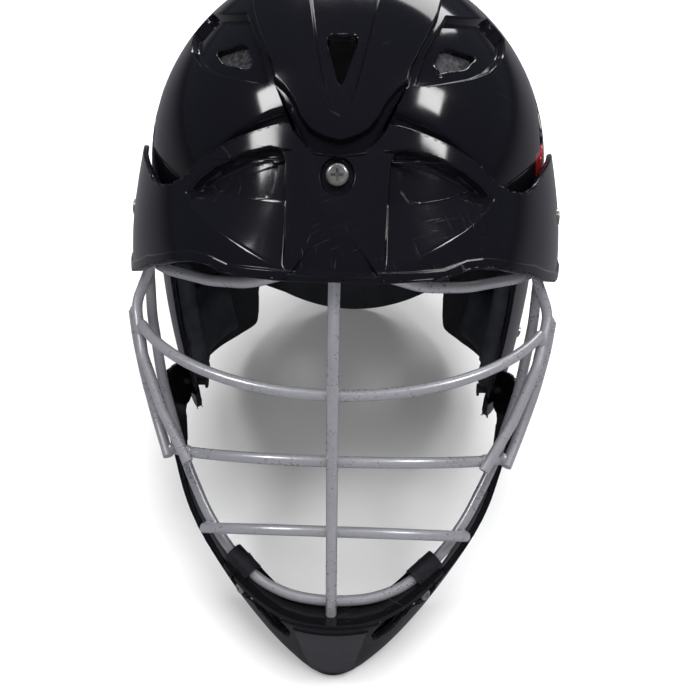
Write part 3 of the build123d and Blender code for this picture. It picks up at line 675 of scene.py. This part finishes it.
def ridge_height(x):
    """The height of the ridge below an eye-like pocket."""
    for (a, low), (b, high) in zip(ridge, ridge[1:] + brow_arch[:1]):
        if x <= b:
            return low + (high - low) * max(0.0, x - a) / (b - a)
    return brow_arch[0][1]


def cheek_depth(p):
    """The cheek starts level at its ridge and sinks towards the lens, which is flat and deepest."""
    x = abs(p.x)
    low = ridge_height(x)
    share = min(1.0, max(0.0, (p.z - low) / max(1.0, LENS_FOOT - low)))
    depth = CHEEK_DEPTH * share * step_up(edge_distance(x, p.z, cheek), 2.0)
    return depth + 0.9 * step_up(edge_distance(x, p.z, lens), 0.9)


def visor_rise(p):
    recess = math.hypot(p.x - SCREW_PLACE[0], p.z - SCREW_PLACE[1]) - RECESS_RADIUS - RECESS_RAMP
    lip = step_up(brim_distance(p) - LIP_WIDTH - 1.2, 1.2) * min(1.0, max(0.0, (-p.y - 25) / 15))
    facet = 2.3 * (1 - max(0.0, min(1.0, p.z / 17))) * step_up(edge_distance(p.x, p.z, beak_facet), 1.2)
    return (LIP_RISE * lip - cheek_depth(p) - facet
            - DISH_DEPTH * step_up(edge_distance(p.x, p.z, dish), DISH_RAMP)
            - RECESS_DEPTH * step_up(recess, RECESS_RAMP))


def visor_depth(p):
    """How deep the inner skin lies below the plain form."""
    sunk = 5.6 * step_up(edge_distance(abs(p.x), p.z, cheek), 4.0)
    return VISOR_WALL + sunk + (DISH_DEPTH + RECESS_DEPTH) * step_up(edge_distance(p.x, p.z, dish), DISH_RAMP)


# %% The visor's skin and wall
bm = skin(ring_point(VISOR_ROWS, 0.0, -30, 68, 180, 360), 260, 70)
circle = [(SCREW_PLACE[0] + (RECESS_RADIUS + RECESS_RAMP) * math.cos(math.radians(a)),
           SCREW_PLACE[1] + (RECESS_RADIUS + RECESS_RAMP) * math.sin(math.radians(a))) for a in range(0, 360, 15)]
steps = [(beak_facet, 1.2), (dish, DISH_RAMP), (circle, RECESS_RAMP), (shrunk(brim_zone, LIP_WIDTH), 1.2)]
for drawn, width in ((cheek, 2.0), (lens, 0.9)):
    steps += [(drawn, width), (flipped(drawn), width)]
for outline, width in steps:
    score_step(bm, outline, "front", everywhere, width)
for side in (1, -1):
    score(bm, [(side * 19, LENS_FOOT), (side * 64, LENS_FOOT)], "front", everywhere, 0.8)
cut_away(bm, visor_outline, "front", everywhere, keep_inside=True)
cut_away(bm, arm_back, "side", everywhere)
weld_slivers(bm, 0.25)
even_rims(bm)
thicken(bm, visor_level, visor_rise, visor_depth, 1.0)
visor = place(bm, "visor_moulding", [visor_gloss])
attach(visor, "helmet")
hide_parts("visor")

# %% [markdown]
# ## The chin guard
# A moulded cup below the cage. The chin wire lies on a shelf along its upper edge, its middle panel
# stands proud, and a strap on each side runs up behind the wires to the flaps.

# %% The chin guard's outlines
guard_band = [(-165, -171.2), (-146, -171.2), (-131, -166.5), (-121, -157), (-111, -146), (-101, -134),
              (-89, -118), (-78, -100), (-70, -86), (-58, -79), (-44, -79), (-40, -86), (-42, -96), (-56, -104),
              (-68, -118), (-78, -136), (-88, -158), (-95, -180), (-97, -200), (-97, -240), (-165, -240)]
guard_slot = [(38.5, -165), (34, -166.5), (27.5, -169.8), (22, -175), (19.5, -181.5), (21.5, -185), (29, -180.5),
              (35, -172)]
guard_hole = [(46 + 4.2 * math.cos(math.radians(a)), -165 + 5.0 * math.sin(math.radians(a)))
              for a in range(0, 360, 20)]
middle_panel = [(-18.6, -173), (18.6, -173), (11.0, -212), (-11.0, -212)]
GUARD_WALL = 3.0


def guard_rise(p):
    if p.y > -100:
        return 0.0
    return 1.0 * step_up(edge_distance(p.x, p.z, middle_panel), 1.4)


# %% The chin guard's skin and wall
bm = skin(ring_point(GUARD_ROWS, GUARD_MIDDLE, -219.9, -78, 155, 385), 200, 84)
score_step(bm, middle_panel, "front", front_half, 1.4)
for outline in (guard_slot, flipped(guard_slot), guard_hole, flipped(guard_hole)):
    cut_away(bm, outline, "front", lambda p: p.y < -100)
cut_away(bm, guard_band, "side", everywhere, keep_inside=True)
weld_slivers(bm, 0.25)
even_rims(bm)
for face in bm.faces:
    middle = face.calc_center_median()
    if middle.y < -100 and edge_distance(middle.x, middle.z, shrunk(middle_panel, 1.2)) < 0:
        face.material_index = 1
thicken(bm, guard_level, guard_rise, lambda p: GUARD_WALL, 1.2)
guard = place(bm, "chin_guard_moulding", [guard_gloss, guard_panel])
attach(guard, "helmet")
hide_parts("chin_guard")

# %% [markdown]
# The shelf is a curved plate inside the cup's upper edge.

# %% The shelf
shelf_line = [(0, -169.3), (14, -169.1), (26, -167.6), (36, -164.4), (46, -159.5), (54, -154)]
SHELF_STEPS = 48
SHELF_THICKNESS = 2.4


def shelf_height(x):
    x = abs(x)
    for (a, low), (b, high) in zip(shelf_line, shelf_line[1:]):
        if x <= b:
            return low + (high - low) * (x - a) / (b - a)
    return shelf_line[-1][1]


bm = bmesh.new()
rows = []
for step in range(SHELF_STEPS + 1):
    x = -54 + 108 * step / SHELF_STEPS
    height = shelf_height(x)
    width, length = read_rows(GUARD_ROWS, height)
    depth = length * math.sqrt(max(0.02, 1 - (x / width) ** 2))
    front = Vector((x, GUARD_MIDDLE - depth + 1.5, height))
    inward = Vector((-x / width, depth / length, 0)).normalized()
    back = front + inward * 15
    rows.append([bm.verts.new(front), bm.verts.new(back)])
for one, two in zip(rows, rows[1:]):
    bm.faces.new((one[0], two[0], two[1], one[1]))
made = bmesh.ops.extrude_face_region(bm, geom=bm.faces[:], use_keep_orig=True)["geom"]
for item in made:
    if isinstance(item, bmesh.types.BMVert):
        item.co.z -= SHELF_THICKNESS
shelf = place(bm, "chin_guard_shelf", [guard_gloss])
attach(shelf, "helmet")

# %% [markdown]
# ## The pads
# Foam cushions under a dark cloth, cut from one layer and stuck inside the shell. Each swells
# between its edges, and sewn channels part the larger ones.

# %% One pad
PAD_GAP = 3.6
PAD_DEPTH = 12.0
EDGE_ROUND = 9.0


def pad(name, node, outline, view, where, seams, material, body="helmet"):
    """A cushion against the shell's inner face, with its outline and its sewn channels seen in one view."""
    a, b = VIEWS[view]
    bm = skin(shell_point, 170, 80)
    cut_away(bm, outline, view, where, keep_inside=True)
    doomed = [face for face in bm.faces if not where(face.calc_center_median())]
    bmesh.ops.delete(bm, geom=doomed, context="FACES")
    weld_slivers(bm, 0.5)

    def swell(p):
        t = min(1.0, max(0.0, -edge_distance(p[a], p[b], outline)) / EDGE_ROUND)
        height = math.sqrt(max(0.0, 1 - (1 - t) ** 2))
        for start, end in seams:
            run = (end[0] - start[0], end[1] - start[1])
            share = ((p[a] - start[0]) * run[0] + (p[b] - start[1]) * run[1]) / (run[0] ** 2 + run[1] ** 2)
            share = min(1.0, max(0.0, share))
            gap = math.hypot(p[a] - start[0] - share * run[0], p[b] - start[1] - share * run[1])
            height *= 1 - 0.45 * math.exp(-(gap / 3.0) ** 2)
        return height

    thicken(bm, shell_level, lambda p: -PAD_GAP - 0.3 * (1 - swell(p)),
            lambda p: PAD_GAP + 1.0 + (PAD_DEPTH - 1.5) * swell(p), 0)
    cushion = place(bm, name, [material], sharp_angle=100)
    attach(cushion, body)
    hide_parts(node)
    return cushion


# %% All the shell's pads
high = lambda p: p.z > 30
pad("brow_cushion", "brow_pad", [(-60, 14), (60, 14), (58, 27), (0, 27.5), (-58, 27)], "front", front_half,
    [((-20, 10), (-20, 30)), ((20, 10), (20, 30))], pad_cloth)
pad("crown_cushion", "crown_pad", [(-24, -50), (24, -50), (27, 0), (24, 52), (-24, 52), (-27, 0)], "top", high,
    [((-24, 0), (24, 0))], open_foam)
pad("rear_cushion", "rear_pad", [(-46, -24), (46, -24), (42, 50), (-42, 50)], "front", rear_half,
    [((-42, 13), (42, 13)), ((0, -24), (0, 50))], pad_cloth)
side_outline = [(-29, -12), (46, -14), (50, 20), (44, 46), (-24, 46), (-29, 24)]
jaw_outline = [(-55, -22), (-24, -22), (-22, -60), (28, -60), (58, -62), (58, -100), (-34, -102), (-41, -95),
               (-43.5, -84), (-55, -80)]
for side, name in ((1, "left"), (-1, "right")):
    on_side = lambda p, side=side: p.x * side > 0
    pad(f"{name}_crown_cushion", f"{name}_crown_pad",
        [(side * x, y) for x, y in ((34, -10), (60, -10), (65, 12), (58, 44), (31, 52))], "top", high, [], pad_cloth)
    pad(f"{name}_side_cushion", f"{name}_side_pad", side_outline, "side", on_side,
        [((-29, 15), (50, 15))], pad_cloth)
    pad(f"{name}_jaw_cushion", f"{name}_jaw_pad", jaw_outline, "side", on_side,
        [((-22, -60), (-22, -100))], liner)

# %% [markdown]
# The vents show grey open foam right behind them. It is a thin slab that the shell's pockets hold.

# %% Foam behind the side vents
for side, name in ((1, "left"), (-1, "right")):
    bm = skin(shell_point, 200, 90)
    cut_away(bm, [(side * x, z) for x, z in ((38, 75), (60, 76.5), (68, 84), (44, 93), (37, 82))], "front",
             front_half, keep_inside=True)
    doomed = [face for face in bm.faces if face.calc_center_median().y > 0]
    bmesh.ops.delete(bm, geom=doomed, context="FACES")
    weld_slivers(bm, 0.5)
    thicken(bm, shell_level, lambda p: -7.3, lambda p: 11.0, 0)
    slab = place(bm, f"{name}_vent_foam", [open_foam])
    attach(slab, "helmet")

# %% [markdown]
# The two pads at the nape ride on the fit bands and move in with them.

# %% The occiput pads
BAND_MIDDLE = 98.9
BAND_RUN = 24.0
BAND_BEND = 48.0


def occiput(side, name):
    bm = bmesh.new()
    bmesh.ops.create_grid(bm, x_segments=26, y_segments=16, size=1.0)
    outline = [(-1, -1), (1, -1), (1, 1), (-1, 1)]

    def bent(p, depth):
        angle = math.radians(16 + 44 * (p.x + 1) / 2)
        radius = BAND_BEND - 1.2 - depth
        return Vector((side * (BAND_RUN + radius * math.sin(angle)),
                       BAND_MIDDLE - BAND_BEND + radius * math.cos(angle), -62 + 12.6 * p.y))

    flat = {vert: vert.co.copy() for vert in bm.verts}
    made = bmesh.ops.extrude_face_region(bm, geom=bm.faces[:], use_keep_orig=True)["geom"]
    front = [item for item in made if isinstance(item, bmesh.types.BMVert)]
    for vert in front:
        edge = min(1.0, -edge_distance(vert.co.x, vert.co.y * 0.8, [(a, b * 0.8) for a, b in outline]) / 0.4)
        vert.co = bent(vert.co, 1.5 + 6.0 * math.sqrt(max(0.0, 1 - (1 - max(0.0, edge)) ** 2)))
    for vert, spot in flat.items():
        vert.co = bent(spot, 0.0)
    cushion = place(bm, f"{name}_occiput_cushion", [pad_cloth], sharp_angle=100)
    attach(cushion, f"{name}_band")
    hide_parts(f"{name}_occiput_pad")


occiput(1, "left")
occiput(-1, "right")

# %% [markdown]
# ## What stays from the CAD frame
# Wires, clips, screws, the dial and its bands have the right shape already. They get their materials.

# %% Materials on the CAD pieces
by_slot = {"wire": wire_paint, "clip": soft_black, "screw": plated_steel, "dial": soft_black, "band": band_black}
dressed = 0
for part in frame["record"]["subparts"]:
    material = by_slot.get(part["material_slot"])
    node = frame["nodes"][part["node"]]
    if material and not node.hide_render:
        for slot in node.material_slots:
            slot.link = "OBJECT"
            slot.material = material
        dressed += 1
print("CAD pieces dressed", dressed)

# %% [markdown]
# The wires are welded where they cross, and each weld has left a small bead.

# %% Weld beads
BEAD_RADIUS = 2.9
middle_welds = [(0, -137, 1.6), (0, -142.3, -54), (0, -141.3, -87.1), (0, -139.6, -125.1), (0, -137.4, -165.9)]
side_welds = [(103, -71.5, -41.8), (97.6, -82.6, -47.8), (71.6, -111.7, -98.7), (82.1, -99.3, -104.2),
              (82.6, -88.5, -109.9), (63, -110.8, -141)]
bm = bmesh.new()
for spot in middle_welds + side_welds + [(-x, y, z) for x, y, z in side_welds]:
    made = bmesh.ops.create_uvsphere(bm, u_segments=20, v_segments=12, radius=BEAD_RADIUS)
    bmesh.ops.translate(bm, verts=made["verts"], vec=spot)
beads = place(bm, "weld_beads", [wire_paint])
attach(beads, "helmet")

# %% [markdown]
# ## The light and the camera
# A plain pale floor under soft light. The black plastic mirrors only two window-like lights, one on
# each side, and a dim room: the floor and the sky are darker in it than to the eye.

# %% Floor and lights
floor_mesh = bpy.data.meshes.new("floor")
bm = bmesh.new()
bmesh.ops.create_grid(bm, x_segments=2, y_segments=2, size=6.0)
bm.to_mesh(floor_mesh)
bm.free()
floor = bpy.data.objects.new("floor", floor_mesh)
bpy.context.scene.collection.objects.link(floor)
floor_material, nodes, links, surface = new_material("pale floor")
where = nodes.new("ShaderNodeTexCoord").outputs["Object"]
pale = tint(nodes, links, noise(nodes, links, where, 3.0), (0.80, 0.80, 0.80), (0.84, 0.84, 0.84))
in_gloss = nodes.new("ShaderNodeLightPath").outputs["Is Glossy Ray"]
links.new(mixed_colour(nodes, links, in_gloss, pale, (0.10, 0.10, 0.11, 1)), surface.inputs["Base Color"])
surface.inputs["Roughness"].default_value = 0.9
floor_mesh.materials.append(floor_material)


def soft_light(name, spot, target, size, power, mirrored_in_gloss=True):
    """A rectangular light. One that isn't mirrored lights the part but leaves no highlight on it."""
    data = bpy.data.lights.new(name, "AREA")
    data.shape = "RECTANGLE"
    data.size, data.size_y = size
    data.energy = power
    lamp = bpy.data.objects.new(name, data)
    lamp.location = spot
    lamp.rotation_euler = (Vector(target) - Vector(spot)).to_track_quat("-Z", "Y").to_euler()
    lamp.visible_glossy = mirrored_in_gloss
    bpy.context.scene.collection.objects.link(lamp)


soft_light("overhead", (0.1, 0.1, 1.5), (0, 0, 0.15), (1.2, 0.9), 30, False)
soft_light("front", (0.1, -1.3, 0.9), (0, 0, 0.1), (1.2, 0.6), 10, False)
soft_light("left_window", (0.81, 0.08, 1.04), (0.04, -0.02, 0.23), (0.26, 0.26), 3.5)
soft_light("right_window", (-0.74, -0.03, 1.10), (-0.03, -0.02, 0.23), (0.26, 0.26), 3.5)
soft_light("back", (0.2, 1.4, 0.9), (0, 0, 0.15), (1.4, 0.6), 14)

world = bpy.data.worlds.new("studio")
bpy.context.scene.world = world
world.use_nodes = True
world_nodes, world_links = world.node_tree.nodes, world.node_tree.links
background = world_nodes["Background"]
path = world_nodes.new("ShaderNodeLightPath")
shade = mixed_colour(world_nodes, world_links, path.outputs["Is Glossy Ray"], (0.25, 0.25, 0.26, 1),
                     (0.050, 0.055, 0.070, 1))
shade = mixed_colour(world_nodes, world_links, path.outputs["Is Camera Ray"], shade, (1.0, 1.0, 1.0, 1))
world_links.new(shade, background.inputs["Color"])
background.inputs["Strength"].default_value = 1.0
bpy.context.scene.view_settings.view_transform = "Standard"

# %% [markdown]
# The camera's place was worked out from mirrored points of the helmet in the photograph, in the
# level drawing. It looks down a little past the wearer's left of the middle, and is slightly tilted.

# %% The camera
CAMERA_SPOT = Vector((17.7, -493.0, 110.1))
DOWN = math.radians(21.97)
YAW = math.radians(-1.75)
ROLL = math.radians(-0.98)
forward = Vector((math.sin(YAW) * math.cos(DOWN), math.cos(YAW) * math.cos(DOWN), -math.sin(DOWN)))
right = Vector((math.cos(YAW), -math.sin(YAW), 0))
down = forward.cross(right)
right, down = (right * math.cos(ROLL) + down * math.sin(ROLL), down * math.cos(ROLL) - right * math.sin(ROLL))
turn = to_row.to_3x3() * (1 / MILLIMETRE)
axes = [turn @ right, turn @ -down, turn @ -forward]
camera_data = bpy.data.cameras.new("camera")
camera_data.lens = 46.29
camera_data.sensor_width = 36.0
camera_data.clip_start = 0.01
camera = bpy.data.objects.new("camera", camera_data)
camera.matrix_world = Matrix.Translation(to_row @ CAMERA_SPOT) @ Matrix(axes).transposed().to_4x4()
bpy.context.scene.collection.objects.link(camera)
bpy.context.scene.camera = camera
print("camera at", [round(value, 3) for value in camera.location])
